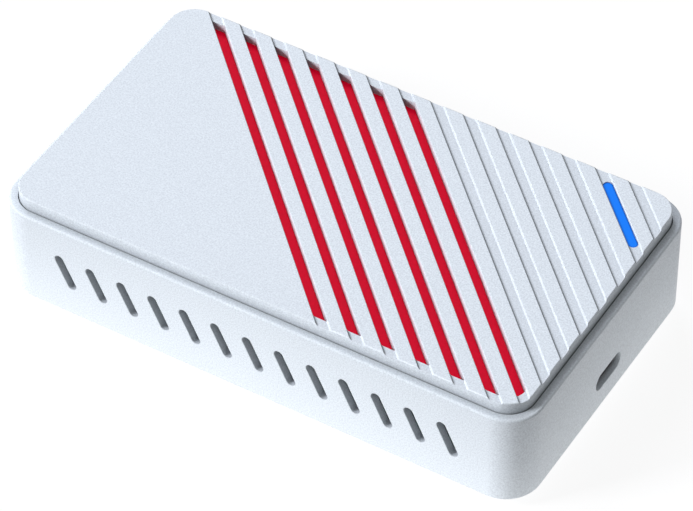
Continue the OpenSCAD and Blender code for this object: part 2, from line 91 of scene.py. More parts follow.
def colour_setting(name, description, hex_colour):
    """A colour that a user can change, given as sRGB hex and kept linear."""
    return FloatVectorProperty(name=name, description=description, default=linear(hex_colour), size=4,
                               min=0.0, max=1.0, subtype="COLOR")


class CaptureBoxSizes(bpy.types.PropertyGroup):
    """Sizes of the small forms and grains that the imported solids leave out."""
    case_edge: size_setting("Case edges", "Rounding of the case's vents and openings", 0.14)
    cover_edge: size_setting("Cover edges", "Rounding of the cover's grooves and slots", 0.08)
    bar_edge: size_setting("Light bar edges", "Rounding of the light bar", 0.15)
    foot_edge: size_setting("Foot edges", "Rounding of the rubber feet", 0.35)
    port_edge: size_setting("Port edges", "Rounding of the ports' shells and tongues", 0.08)
    part_edge: size_setting("Component edges", "Rounding of the board's components", 0.08)
    metal_edge: size_setting("Metal edges", "Rounding of the heat sink and the screws", 0.1)
    grain: size_setting("Plastic grain", "Size of one grain of the case's moulded texture", 0.3)
    lead_reach: size_setting("Lead reach", "How far a chip's leads stand out from its body", 0.9)
    lead_thick: size_setting("Lead thickness", "Thickness of a chip's leads", 0.15)
    end_cap: size_setting("End caps", "Length of the tinned ends on small capacitors", 0.35)


class CaptureBoxColours(bpy.types.PropertyGroup):
    """Colours of the pieces, before any light falls on them."""
    shell: colour_setting("Shell", "White plastic of the case and the cover", "E6EDF4")
    accent: colour_setting("Accent panel", "Red panel under the cover's slots", "D8062C")
    guide: colour_setting("Light bar", "Blue light that the light guide gives", "1980FF")
    rubber: colour_setting("Rubber", "Grey rubber of the feet", "3A3B3E")
    mask: colour_setting("Solder mask", "Green mask over the board's copper", "14442F")
    nickel: colour_setting("Nickel", "Plated steel of the ports' shells", "989BA0")
    epoxy: colour_setting("Chips", "Black moulding compound of the chips", "1D1E20")
    aluminium: colour_setting("Aluminium", "Bare aluminium of the heat sink", "C6C8CB")


class CaptureBoxStudio(bpy.types.PropertyGroup):
    """Where the camera stands."""
    azimuth: FloatProperty(name="Azimuth", description="Camera's heading, from the front to the right",
                           default=math.radians(30.84), unit="ROTATION")
    elevation: FloatProperty(name="Elevation", description="Camera's height above the desk, as an angle",
                             default=math.radians(44.98), unit="ROTATION")
    distance: size_setting("Distance", "From the camera to the point that it looks at", 783.9)
    lens: FloatProperty(name="Focal length", description="Focal length on a 36 mm wide sensor",
                        default=215.45, min=1.0, unit="CAMERA")
    target: FloatVectorProperty(name="Target", description="Point that the camera looks at",
                                default=(-1.7 * MM, 3.6 * MM, 6.4 * MM), subtype="XYZ", unit="LENGTH")


class CaptureBoxSettings(bpy.types.PropertyGroup):
    """All that a user can change."""
    sizes: PointerProperty(type=CaptureBoxSizes)
    colours: PointerProperty(type=CaptureBoxColours)
    studio: PointerProperty(type=CaptureBoxStudio)


# Shapes


def merged_copy(node, merge=MERGE):
    """The node's mesh with its loose triangles merged and its flat faces whole."""
    shape = bmesh.new()
    shape.from_mesh(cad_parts[node].data)
    bmesh.ops.remove_doubles(shape, verts=shape.verts, dist=merge)
    bmesh.ops.dissolve_limit(shape, angle_limit=FLAT, verts=shape.verts, edges=shape.edges)
    return shape


def solids_of(node):
    """Lowest and highest corners of each separate solid in a node, from left to right and front to back."""
    shape = merged_copy(node)
    left = set(shape.verts)
    boxes = []
    while left:
        found = [left.pop()]
        for vert in found:
            joined = {edge.other_vert(vert) for edge in vert.link_edges} & left
            found.extend(joined)
            left -= joined
        spans = [[vert.co[axis] for vert in found] for axis in range(3)]
        boxes.append((Vector([min(s) for s in spans]), Vector([max(s) for s in spans])))
    shape.free()
    return sorted(boxes, key=lambda box: (round(box[0].x, 5), box[0].y))


def round_edges(shape, width, segments=2, shortest=0.0, sharper=SHARP):
    """Rounds the shape's outward edges, leaving those shorter than shortest or no sharper than a limit."""
    edges = [e for e in shape.edges if e.is_manifold and e.is_convex and e.calc_face_angle() > sharper
             and e.calc_length() > shortest]
    bmesh.ops.bevel(shape, geom=edges, offset=width, offset_type="OFFSET", affect="EDGES",
                    segments=segments, profile=0.5, material=-1)
    return shape


def add_block(shape, low, high, index=0):
    """Adds a block between two corners and returns its faces."""
    low, high = Vector(low), Vector(high)
    place = Matrix.LocRotScale((low + high) / 2, None, high - low)
    made = bmesh.ops.create_cube(shape, size=1.0, matrix=place)
    faces = list({face for vert in made["verts"] for face in vert.link_faces})
    for face in faces:
        face.material_index = index
    return faces


def add_strip(shape, line, across, thick, index=0):
    """Adds a bent strip of sheet metal: a line of points drawn out across and given a thickness."""
    start = [shape.verts.new(point) for point in line]
    edges = [shape.edges.new(pair) for pair in zip(start, start[1:])]
    drawn = bmesh.ops.extrude_edge_only(shape, edges=edges)["geom"]
    bmesh.ops.translate(shape, verts=[g for g in drawn if isinstance(g, bmesh.types.BMVert)], vec=across)
    faces = [g for g in drawn if isinstance(g, bmesh.types.BMFace)]
    faces += [g for g in bmesh.ops.solidify(shape, geom=faces, thickness=thick)["geom"]
              if isinstance(g, bmesh.types.BMFace)]
    bmesh.ops.recalc_face_normals(shape, faces=shape.faces)
    for face in faces:
        face.material_index = index


def add_outline(shape, segments, matrix, line, thick):
    """Adds a flat frame as wide as line: a ring, or a rectangle where segments is 4."""
    verts = bmesh.ops.create_circle(shape, cap_ends=True, segments=segments, radius=1.0,
                                    matrix=matrix)["verts"]
    inner = verts[0].link_faces[0]
    band = bmesh.ops.inset_region(shape, faces=[inner], thickness=line, use_boundary=True,
                                  use_even_offset=True)["faces"]
    bmesh.ops.delete(shape, geom=[inner], context="FACES_ONLY")
    bmesh.ops.solidify(shape, geom=band, thickness=thick)
    bmesh.ops.recalc_face_normals(shape, faces=shape.faces)


def add_turned(shape, centre, profile, steps=48):
    """Adds a turned form: a profile of radius and height pairs, spun about an upright axis at centre."""
    line = [shape.verts.new(centre + Vector((radius, 0, height))) for radius, height in profile]
    edges = [shape.edges.new(pair) for pair in zip(line, line[1:])]
    bmesh.ops.spin(shape, geom=line + edges, cent=centre, axis=(0, 0, 1), angle=2 * math.pi, steps=steps,
                   use_merge=True)
    bmesh.ops.remove_doubles(shape, verts=shape.verts, dist=MERGE)
    bmesh.ops.recalc_face_normals(shape, faces=shape.faces)


def add_piece(name, shape, finishes, body, slot, *replaced):
    """Makes an object of the shape, which rides on a body and stands for the nodes that it replaces."""
    mesh = bpy.data.meshes.new(name)
    shape.to_mesh(mesh)
    shape.free()
    for layer in [a for a in mesh.attributes if a.name == "custom_normal"]:
        mesh.attributes.remove(layer)
    for finish in finishes:
        mesh.materials.append(finish)
    mesh.shade_smooth()
    mesh.set_sharp_from_angle(angle=SHARP)
    piece = bpy.data.objects.new(name, mesh)
    bpy.context.scene.collection.objects.link(piece)
    even = piece.modifiers.new("even_shading", "WEIGHTED_NORMAL")
    even.keep_sharp = True
    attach(piece, body)
    if replaced:
        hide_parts(*replaced)


def groove_part(face, top):
    """Tells a groove's floor, 1, and its rear flank, 2, from the rest of the cover, 0, so that these can take
    painted shade.
    """
    sliver = 0.3 * MM * MM
    depth = top - face.calc_center_median().z
    slope = face.normal
    if not 0.1 * GROOVE_DEPTH < depth < 1.1 * GROOVE_DEPTH or face.calc_area() < sliver:
        return 0
    if slope.z > 0.99:
        return 1
    return 2 if slope.z > 0.5 and slope.x > 0.1 and abs(slope.x - slope.y) < 0.1 else 0


def vent_part(face, low, high):
    """Tells the walls of a vent, 1, from the rest of the case, 0, so that these can take painted shade."""
    place = face.calc_center_median()
    depth = min(place.y - low.y, high.y - place.y)
    within = 0.1 * MM < depth < WALL and low.z + WALL < place.z < high.z - WALL
    return 1 if within and abs(face.normal.y) < 0.1 else 0


def soften_node(name, node, width, finish, body, slot, segments=2):
    """Stands a copy of a node with rounded edges in its place."""
    add_piece(name, round_edges(merged_copy(node), width, segments), [finish], body, slot, node)


def dress_node(node, finish):
    """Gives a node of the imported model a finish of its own."""
    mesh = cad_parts[node].data
    mesh.materials.clear()
    mesh.materials.append(finish)


# Finishes


def add_node(tree, kind, inputs=None, **settings):
    """Adds a shader node, sets its properties, and fills its inputs with values or other outputs."""
    made = tree.nodes.new(kind)
    for name, value in settings.items():
        setattr(made, name, value)
    for key, value in (inputs or {}).items():
        if isinstance(value, bpy.types.NodeSocket):
            tree.links.new(value, made.inputs[key])
        else:
            made.inputs[key].default_value = value
    return made


def new_finish(name, roughness, metallic=0.0):
    """A material with its tree, its shader and the piece's own coordinates."""
    finish = bpy.data.materials.new(name)
    finish.use_nodes = True
    tree = finish.node_tree
    shader = tree.nodes["Principled BSDF"]
    shader.inputs["Roughness"].default_value = roughness
    shader.inputs["Metallic"].default_value = metallic
    place = add_node(tree, "ShaderNodeTexCoord").outputs["Object"]
    return finish, tree, shader, place


def once(builder, settings):
    """The finish that a builder makes, made only the first time."""
    return bpy.data.materials.get(builder.__name__) or builder(settings)


def shaded(colour, share):
    """The colour with its brightness multiplied by share."""
    return tuple(min(c * share, 1.0) for c in colour[:3]) + (1.0,)


def mottle(tree, shader, place, colour, size, low, high, bump=0.0, stretch=(1, 1, 1)):
    """Varies the shader's colour from low to high shares of it in patches of a size, dented by bump."""
    if stretch != (1, 1, 1):
        place = add_node(tree, "ShaderNodeMapping", {"Vector": place, "Scale": stretch}).outputs["Vector"]
    noise = add_node(tree, "ShaderNodeTexNoise", {"Vector": place, "Scale": 1 / size, "Detail": 3.0})
    tone = add_node(tree, "ShaderNodeMapRange", {"Value": noise.outputs["Fac"], "From Min": 0.3,
                                                 "From Max": 0.7})
    mix = add_node(tree, "ShaderNodeMix", {"Factor": tone.outputs["Result"], "A": shaded(colour, low),
                                           "B": shaded(colour, high)}, data_type="RGBA")
    tree.links.new(mix.outputs["Result"], shader.inputs["Base Color"])
    if bump:
        dent = add_node(tree, "ShaderNodeBump", {"Height": noise.outputs["Fac"], "Strength": 0.4,
                                                 "Distance": bump})
        tree.links.new(dent.outputs["Normal"], shader.inputs["Normal"])
    return mix


def mottled(name, roughness, colour, size, low, high, bump=0.0, stretch=(1, 1, 1), metallic=0.0):
    """A finish that needs no more than its mottled colour and its dents."""
    finish, tree, shader, place = new_finish(name, roughness, metallic)
    mottle(tree, shader, place, colour, size, low, high, bump, stretch)
    return finish


def abs_skin(name, settings, share):
    """White ABS at a share of its brightness: a fine sandy grain, with painted shade that greys it in steps
    and slots.
    """
    crease, darkest = 2 * MM, 0.3
    finish, tree, shader, place = new_finish(name, 0.55)
    white = shaded(settings.colours.shell, share)
    skin = mottle(tree, shader, place, white, settings.sizes.grain, 0.86, 1.12, 0.03 * MM)
    # Ambient occlusion darkens the colour where the surface is hemmed in: painted shade in steps, slots and
    # creases.
    open_to_light = add_node(tree, "ShaderNodeAmbientOcclusion", {"Distance": crease}, samples=6)
    shade = {"Factor": open_to_light.outputs["AO"], "A": shaded(white, darkest), "B": skin.outputs["Result"]}
    mix = add_node(tree, "ShaderNodeMix", shade, data_type="RGBA")
    tree.links.new(mix.outputs["Result"], shader.inputs["Base Color"])
    return finish


def moulded_abs(settings):
    """White ABS from a spark-eroded mould: a matte, sandy skin, with painted shade in its steps and slots."""
    return abs_skin("moulded_abs", settings, 1.0)


def groove_painted_shade_abs(settings):
    """The same ABS on the grooves' floors, a shade darker to match the greys of the photograph: painted shade
    in the grooves.
    """
    return abs_skin("groove_painted_shade_abs", settings, 0.92)


def flank_painted_shadow_abs(settings):
    """The same ABS on each groove's rear flank, darkened to match the thin dark line photographed there: a
    painted shadow line along the groove.
    """
    return abs_skin("flank_painted_shadow_abs", settings, 0.4)


def vent_painted_shade_abs(settings):
    """The same ABS on the vents' walls, darkened to match the greys of the photograph: painted shade inside
    the vents.
    """
    return abs_skin("vent_painted_shade_abs", settings, 0.78)


def satin_polycarbonate(settings):
    """Red polycarbonate sheet with a satin face: a deep even colour, with a painted glow on its upward faces
    that stands in for light.
    """
    finish, tree, shader, place = new_finish("satin_polycarbonate", 0.5)
    shader.inputs["Specular IOR Level"].default_value = 0.05
    mottle(tree, shader, place, settings.colours.accent, 0.6 * MM, 0.94, 1.04)
    # Painted light: faces that look up emit a little of the red, though the panel is no lamp.
    surface = add_node(tree, "ShaderNodeNewGeometry")
    facing = add_node(tree, "ShaderNodeSeparateXYZ", {"Vector": surface.outputs["Normal"]})
    upper = add_node(tree, "ShaderNodeMapRange", {"Value": facing.outputs["Z"], "From Min": 0.5,
                                                  "From Max": 0.6, "To Max": 0.3})
    shader.inputs["Emission Color"].default_value = settings.colours.accent
    tree.links.new(upper.outputs["Result"], shader.inputs["Emission Strength"])
    return finish


def milky_acrylic(settings):
    """Milky acrylic lit from below: an even blue glow that falls off towards its rim."""
    finish, tree, shader, place = new_finish("milky_acrylic", 0.35)
    low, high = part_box("light_bar")
    half_w = 0.95 * MM
    half_run = (high.x - low.x - 2 * half_w) / math.sqrt(2)
    turned = add_node(tree, "ShaderNodeMapping", {"Vector": place, "Location": (low + high) / 2,
                                                  "Rotation": (0, 0, GROOVE_TURN)}, vector_type="TEXTURE")
    split = add_node(tree, "ShaderNodeSeparateXYZ", {"Vector": turned.outputs["Vector"]})
    along = add_node(tree, "ShaderNodeMath", {0: split.outputs["X"]}, operation="ABSOLUTE")
    past = add_node(tree, "ShaderNodeMath", {0: along.outputs[0], 1: half_run}, operation="SUBTRACT")
    past = add_node(tree, "ShaderNodeMath", {0: past.outputs[0], 1: 0.0}, operation="MAXIMUM")
    offset = add_node(tree, "ShaderNodeCombineXYZ", {"X": past.outputs[0], "Y": split.outputs["Y"]})
    away = add_node(tree, "ShaderNodeVectorMath", {0: offset.outputs["Vector"]}, operation="LENGTH")
    fade = add_node(tree, "ShaderNodeMapRange", {"Value": away.outputs["Value"], "From Min": 0.55 * MM,
                                                 "From Max": 0.9 * MM, "To Min": 0.8, "To Max": 0.4})
    shader.inputs["Specular IOR Level"].default_value = 0.05
    shader.inputs["Base Color"].default_value = shaded(settings.colours.guide, 0.2)
    shader.inputs["Emission Color"].default_value = settings.colours.guide
    top = (high.z - low.z) / 2
    upper = add_node(tree, "ShaderNodeMapRange", {"Value": split.outputs["Z"], "From Min": top - 0.6 * MM,
                                                  "From Max": top - 0.3 * MM, "To Min": 0.05})
    glow = add_node(tree, "ShaderNodeMath", {0: fade.outputs["Result"], 1: upper.outputs["Result"]},
                    operation="MULTIPLY")
    tree.links.new(glow.outputs[0], shader.inputs["Emission Strength"])
    return finish


def moulded_rubber(settings):
    """Moulded rubber: dark, dull and slightly uneven."""
    return mottled("moulded_rubber", 0.85, settings.colours.rubber, 0.4 * MM, 0.85, 1.1, 0.02 * MM)


def solder_mask(settings):
    """Green epoxy mask over etched copper: glossy, paler over the tracks, with tinned dots."""
    finish, tree, shader, place = new_finish("solder_mask", 0.32)
    green = settings.colours.mask
    area = add_node(tree, "ShaderNodeTexNoise", {"Vector": place, "Scale": 1 / (9 * MM), "Detail": 0.0})
    routed = add_node(tree, "ShaderNodeMath", {0: area.outputs["Fac"], 1: 0.48}, operation="GREATER_THAN")
    on, off = (1, 1, 1, 1), (0, 0, 0, 1)
    tracks = add_node(tree, "ShaderNodeTexBrick",
                      {"Vector": place, "Scale": 1.0, "Mortar Size": 0.09 * MM, "Mortar Smooth": 0.2,
                       "Brick Width": 11 * MM, "Row Height": 0.55 * MM, "Color1": on, "Color2": on,
                       "Mortar": off}, offset=0.37)
    copper = add_node(tree, "ShaderNodeMath", {0: tracks.outputs["Color"], 1: routed.outputs[0]},
                      operation="MULTIPLY")
    tone = add_node(tree, "ShaderNodeMix", {"Factor": copper.outputs[0], "A": shaded(green, 0.8),
                                            "B": shaded(green, 1.5)}, data_type="RGBA")
    dots = add_node(tree, "ShaderNodeTexVoronoi", {"Vector": place, "Scale": 1 / (3.1 * MM),
                                                   "Randomness": 0.8})
    tinned = add_node(tree, "ShaderNodeMath", {0: dots.outputs["Distance"], 1: 0.075},
                      operation="LESS_THAN")
    both = add_node(tree, "ShaderNodeMix", {"Factor": tinned.outputs[0], "A": tone.outputs["Result"],
                                            "B": linear("B9BAB6")}, data_type="RGBA")
    dent = add_node(tree, "ShaderNodeBump", {"Height": copper.outputs[0], "Strength": 0.5,
                                             "Distance": 0.03 * MM})
    tree.links.new(both.outputs["Result"], shader.inputs["Base Color"])
    tree.links.new(tinned.outputs[0], shader.inputs["Metallic"])
    tree.links.new(dent.outputs["Normal"], shader.inputs["Normal"])
    return finish


def glass_laminate(settings):
    """Cut edge of glass-fibre laminate: dull, sandy yellow, with its layers of cloth as fine lines."""
    return mottled("glass_laminate", 0.8, linear("B9AE7C"), 0.12 * MM, 0.75, 1.1, 0.02 * MM,
                   (0.05, 0.05, 1))


def screen_ink(settings):
    """White screen-printed ink: flat and slightly patchy."""
    return mottled("screen_ink", 0.7, linear("DADAD4"), 0.2 * MM, 0.8, 1.05)


def tin_plate(settings):
    """Tinned copper: a soft grey metal with cloudy patches."""
    return mottled("tin_plate", 0.38, linear("C2C3C0"), 0.35 * MM, 0.8, 1.08, 0.01 * MM, metallic=1.0)


def gold_flash(settings):
    """Gold-flashed contacts: warm, smooth and bright."""
    return mottled("gold_flash", 0.25, linear("D9AC58"), 0.4 * MM, 0.88, 1.05, metallic=1.0)


def zinc_steel(settings):
    """Zinc-plated steel: bluish grey with fine turning marks."""
    return mottled("zinc_steel", 0.34, linear("B4B8BE"), 0.25 * MM, 0.8, 1.1, 0.012 * MM, metallic=1.0)


def nickel_steel(settings):
    """Nickel-plated sheet steel: warm grey with faint drawing lines along the shell."""
    return mottled("nickel_steel", 0.36, settings.colours.nickel, 0.15 * MM, 0.85, 1.08, 0.008 * MM,
                   (0.03, 1, 1), metallic=1.0)


def port_resin(settings):
    """Glass-filled black resin: dull, with a faint flow grain."""
    return mottled("port_resin", 0.55, linear("232427"), 0.2 * MM, 0.8, 1.2, 0.01 * MM)


def moulding_compound(settings):
    """Epoxy moulding compound: charcoal, matte, with a fine gritty skin."""
    return mottled("moulding_compound", 0.62, settings.colours.epoxy, 0.1 * MM, 0.75, 1.25, 0.01 * MM)


def laser_mark(settings):
    """Laser-burnt dot on moulding compound: a flat mid grey."""
    return mottled("laser_mark", 0.8, linear("77787A"), 0.08 * MM, 0.85, 1.1)


def package_substrate(settings):
    """Resin board under a chip's moulding: dark green and satin."""
    return mottled("package_substrate", 0.45, linear("27482F"), 0.3 * MM, 0.85, 1.15)


def gap_silicone(settings):
    """Filled silicone pad: grey-blue, soft and dull, with a fine filler grain."""
    return mottled("gap_silicone", 0.8, linear("7D93AE"), 0.15 * MM, 0.85, 1.1, 0.02 * MM)


def extruded_aluminium(settings):
    """Extruded aluminium: pale grey metal with straight die lines along the fins."""
    return mottled("extruded_aluminium", 0.36, settings.colours.aluminium, 0.12 * MM, 0.84, 1.06,
                   0.012 * MM, (0.01, 1, 1), metallic=1.0)


def natural_nylon(settings):
    """Undyed nylon: creamy white with a waxy sheen."""
    finish, tree, shader, place = new_finish("natural_nylon", 0.42)
    shader.inputs["Subsurface Weight"].default_value = 0.15
    shader.inputs["Subsurface Radius"].default_value = (0.8 * MM, 0.6 * MM, 0.4 * MM)
    mottle(tree, shader, place, linear("DAD6C8"), 0.8 * MM, 0.94, 1.03)
    return finish


def pressed_ferrite(settings):
    """Pressed iron powder: dark grey with fine lighter specks."""
    return mottled("pressed_ferrite", 0.6, linear("47484B"), 0.09 * MM, 0.7, 1.35, 0.015 * MM)


def drawn_aluminium(settings):
    """Drawn aluminium can: bright, with fine upright draw lines."""
    return mottled("drawn_aluminium", 0.28, linear("D2D4D8"), 0.15 * MM, 0.9, 1.04, 0.006 * MM,
                   (1, 1, 0.02), metallic=1.0)


def can_ink(settings):
    """Black ink on the can's top: flat, with a trace of the metal's sheen."""
    return mottled("can_ink", 0.5, linear("1B1C20"), 0.3 * MM, 0.8, 1.2)


def fired_ceramic(settings):
    """Fired ceramic: tan, dense and slightly glossy."""
    return mottled("fired_ceramic", 0.4, linear("9C7C58"), 0.25 * MM, 0.85, 1.1)


def lamp_body(settings):
    """White heat-proof nylon round a lamp: bright and satin."""
    return mottled("lamp_body", 0.4, linear("E4E4DE"), 0.3 * MM, 0.95, 1.03)


def lamp_lens(settings):
    """Silicone over the lamp's chip, lit from within: a clear blue glow."""
    finish, tree, shader, place = new_finish("lamp_lens", 0.25)
    mottle(tree, shader, place, settings.colours.guide, 0.5 * MM, 0.6, 0.9)
    shader.inputs["Emission Color"].default_value = settings.colours.guide
    shader.inputs["Emission Strength"].default_value = 0.15
    return finish


# Pieces that the operators share


def settings_of(context):
    """The settings that the operators read."""
    return context.scene.capture_box


def add_pin_mark(shape, low, high, index):
    """Adds the round mark at the corner of a chip where its first pin is."""
    radius = 0.35 * MM
    inset = 1.1 * MM
    thick = 0.02 * MM
    middle = Vector((low.x + inset, high.y - inset, high.z))
    others = set(shape.faces)
    bmesh.ops.create_cone(shape, cap_ends=True, segments=24, radius1=radius, radius2=radius, depth=thick,
                          matrix=Matrix.Translation(middle))
    for face in set(shape.faces) - others:
        face.material_index = index


def flat_chip(name, node, settings, substrate):
    """A chip with its contacts underneath: a moulded body over a thin substrate, its first pin marked."""
    edge = settings.sizes.part_edge
    shape = bmesh.new()
    boxes = solids_of(node)
    for low, high in boxes:
        seam = Vector((high.x, high.y, low.z + substrate))
        add_block(shape, low, seam, 1)
        add_block(shape, Vector((low.x + edge, low.y + edge, seam.z)), high - Vector((edge, edge, 0)), 0)
    round_edges(shape, edge)
    for low, high in boxes:
        add_pin_mark(shape, low, high, 2)
    finishes = [once(moulding_compound, settings), once(package_substrate, settings),
                once(laser_mark, settings)]
    add_piece(name, shape, finishes, "case", "chip_epoxy", node)


def leaded_chip(name, node, settings, rows):
    """A chip with bent leads. Rows gives, for each side with leads, its outward heading and its count."""
    sizes = settings.sizes
    stand = 0.1 * MM
    seam = 0.45
    low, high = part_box(node)
    sides = [Vector(heading) for heading, count in rows]
    trim = Vector([max(abs(side[axis]) for side in sides) * sizes.lead_reach for axis in (0, 1)] + [0])
    shape = bmesh.new()
    body_low, body_high = low + trim + Vector((0, 0, stand)), high - trim
    add_block(shape, body_low, body_high)
    round_edges(shape, sizes.part_edge)
    middle = (low + high) / 2
    span = body_high - body_low
    rise = seam * (high.z - low.z)
    for (heading, count), outward in zip(rows, sides):
        along = Vector((-outward.y, outward.x, 0))
        length = abs(along.dot(span))
        pitch = length / (count + 1)
        width = 0.45 * pitch
        root = Vector((middle.x, middle.y, low.z + rise)) + outward * abs(outward.dot(span)) / 2
        reach = outward * sizes.lead_reach
        drop = Vector((0, 0, -rise))
        for i in range(count):
            start = root + along * ((i + 1) * pitch - length / 2 - width / 2)
            line = [start - 0.1 * reach, start + 0.3 * reach, start + 0.5 * reach + drop,
                    start + reach + drop]
            add_strip(shape, line, along * width, sizes.lead_thick, 1)
    add_pin_mark(shape, body_low, body_high, 2)
    finishes = [once(moulding_compound, settings), once(tin_plate, settings), once(laser_mark, settings)]
    add_piece(name, shape, finishes, "case", "chip_epoxy", node)


# Operators


class CAPTUREBOX_OT_shell(bpy.types.Operator):
    """Case and cover in textured white plastic, with rounded vents, grooves and slots"""
    bl_idname = "capture_box.shell"
    bl_label = "Case and Cover"

    def execute(self, context):
        settings = settings_of(context)
        white = once(moulded_abs, settings)
        case = round_edges(merged_copy("lower_case"), settings.sizes.case_edge, shortest=0.02 * MM)
        low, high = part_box("lower_case")
        # The vents' walls take a darker copy of the white: painted shade.
        for face in case.faces:
            face.material_index = vent_part(face, low, high)
        add_piece("case_moulding", case, [white, once(vent_painted_shade_abs, settings)], "case", "case_plastic",
                  "lower_case")
        seam_gap, shortest, sharper = 0.03 * MM, 0.3 * MM, math.radians(60)
        cover = round_edges(merged_copy("top_cover", seam_gap), settings.sizes.cover_edge,
                            shortest=shortest, sharper=sharper)
        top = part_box("top_cover")[1].z
        # Groove floors and rear flanks take darker copies of the white: painted shade and a painted shadow
        # line.
        for face in cover.faces:
            face.material_index = groove_part(face, top)
        finishes = [white, once(groove_painted_shade_abs, settings), once(flank_painted_shadow_abs, settings)]
        add_piece("cover_moulding", cover, finishes, "cover", "case_plastic", "top_cover")
        return {"FINISHED"}


class CAPTUREBOX_OT_accent(bpy.types.Operator):
    """Red panel under the cover's slots"""
    bl_idname = "capture_box.accent"
    bl_label = "Accent Panel"

    def execute(self, context):
        dress_node("accent_panel", once(satin_polycarbonate, settings_of(context)))
        return {"FINISHED"}


class CAPTUREBOX_OT_light_bar(bpy.types.Operator):
    """Lit light guide in the cover, and the lamps on the board under it"""
    bl_idname = "capture_box.light_bar"
    bl_label = "Light Bar and Lamps"

    def execute(self, context):
        settings = settings_of(context)
        soften_node("light_guide", "light_bar", settings.sizes.bar_edge, once(milky_acrylic, settings),
                    "cover", "light_guide")
        wall = 0.35 * MM
        cup = 0.3 * MM
        length, width = 3.2 * MM, 2.8 * MM
        shape = bmesh.new()
        for low, high in solids_of("status_lamps"):
            half = Vector((length / 2, width / 2, (high.z - low.z) / 2))
            faces = add_block(shape, -half, half)
            top = max(faces, key=lambda face: face.calc_center_median().z)
            verts = list({vert for face in faces for vert in face.verts})
            place = Matrix.LocRotScale((low + high) / 2, Matrix.Rotation(GROOVE_TURN, 3, "Z"), None)
            bmesh.ops.transform(shape, matrix=place, verts=verts)
            bmesh.ops.inset_region(shape, faces=[top], thickness=wall, use_even_offset=True)
            bmesh.ops.inset_region(shape, faces=[top], thickness=0.15 * MM, depth=-cup,
                                   use_even_offset=True)
            top.material_index = 1
        round_edges(shape, 0.06 * MM)
        add_piece("lamp_packages", shape, [once(lamp_body, settings), once(lamp_lens, settings)], "case",
                  "lamp_lens", "status_lamps")
        return {"FINISHED"}


class CAPTUREBOX_OT_feet(bpy.types.Operator):
    """Four rubber feet with softly rounded edges"""
    bl_idname = "capture_box.feet"
    bl_label = "Feet"

    def execute(self, context):
        settings = settings_of(context)
        soften_node("foot_pads", "rubber_feet", settings.sizes.foot_edge, once(moulded_rubber, settings),
                    "case", "foot_rubber", segments=3)
        return {"FINISHED"}


class CAPTUREBOX_OT_board(bpy.types.Operator):
    """Main board with its mask, cut edges, plated rings and printed outlines, and its screws"""
    bl_idname = "capture_box.board"
    bl_label = "Main Board and Screws"

    def execute(self, context):
        settings = settings_of(context)
        shape = merged_copy("main_board")
        for face in shape.faces:
            face.material_index = 0 if abs(face.normal.z) > 0.5 else 1
        add_piece("board_laminate", shape, [once(solder_mask, settings), once(glass_laminate, settings)],
                  "case", "circuit_board", "main_board")

        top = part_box("main_board")[1].z
        ring_line, print_line, film = 1.5 * MM, 0.16 * MM, 0.03 * MM
        shape = bmesh.new()
        for low, high in solids_of("board_screws"):
            middle = (low + high) / 2
            radius = (high.x - low.x) / 2 + 0.5 * MM
            place = Matrix.LocRotScale((middle.x, middle.y, top), None, (radius, radius, 1))
            add_outline(shape, 48, place, ring_line, film)
        add_piece("plated_rings", shape, [once(tin_plate, settings)], "case", "circuit_board")

        shape = bmesh.new()
        room = 0.45 * MM
        square = Matrix.Rotation(math.radians(45), 4, "Z")
        outlined = ("memory_chips", "receiver_chip", "splitter_chip", "data_chip", "flash_chip",
                    "power_inductors", "bulk_capacitors", "crystals")
        for node in outlined:
            for low, high in solids_of(node):
                middle = (low + high) / 2
                half = (high - low) / 2 + Vector((room, room, 0))
                sides = Matrix.Diagonal((half.x * math.sqrt(2), half.y * math.sqrt(2), 1, 1))
                place = Matrix.Translation((middle.x, middle.y, top)) @ sides @ square
                add_outline(shape, 4, place, print_line, film)
        add_piece("printed_outlines", shape, [once(screen_ink, settings)], "case", "circuit_board")

        soften_node("screw_set", "board_screws", settings.sizes.metal_edge, once(zinc_steel, settings),
                    "case", "screw_steel")
        return {"FINISHED"}


class CAPTUREBOX_OT_data_port(bpy.types.Operator):
    """Round-ended data port at the right end: drawn shell, tongue and two rows of contacts"""
    bl_idname = "capture_box.data_port"
    bl_label = "Data Port"

    def execute(self, context):
        settings = settings_of(context)
        edge = settings.sizes.port_edge
        soften_node("data_port_shell", "data_shell", edge, once(nickel_steel, settings), "case",
                    "port_shell")
        soften_node("data_port_tongue", "data_insert", edge, once(port_resin, settings), "case",
                    "port_insert")
        contacts, pitch, width, proud, length, tip = 12, 0.5 * MM, 0.25 * MM, 0.04 * MM, 3.4 * MM, 0.45 * MM
        tongue_half = 0.35 * MM
        low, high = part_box("data_insert")
        middle = (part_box("data_shell")[0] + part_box("data_shell")[1]) / 2
        shape = bmesh.new()
        for face in (-1, 1):
            for i in range(contacts):
                y = middle.y + (i - (contacts - 1) / 2) * pitch
                z = middle.z + face * tongue_half
                add_block(shape, (high.x - tip - length, y - width / 2, z - proud),
                          (high.x - tip, y + width / 2, z + proud))
        add_piece("data_port_contacts", shape, [once(gold_flash, settings)], "case", "port_shell")
        return {"FINISHED"}


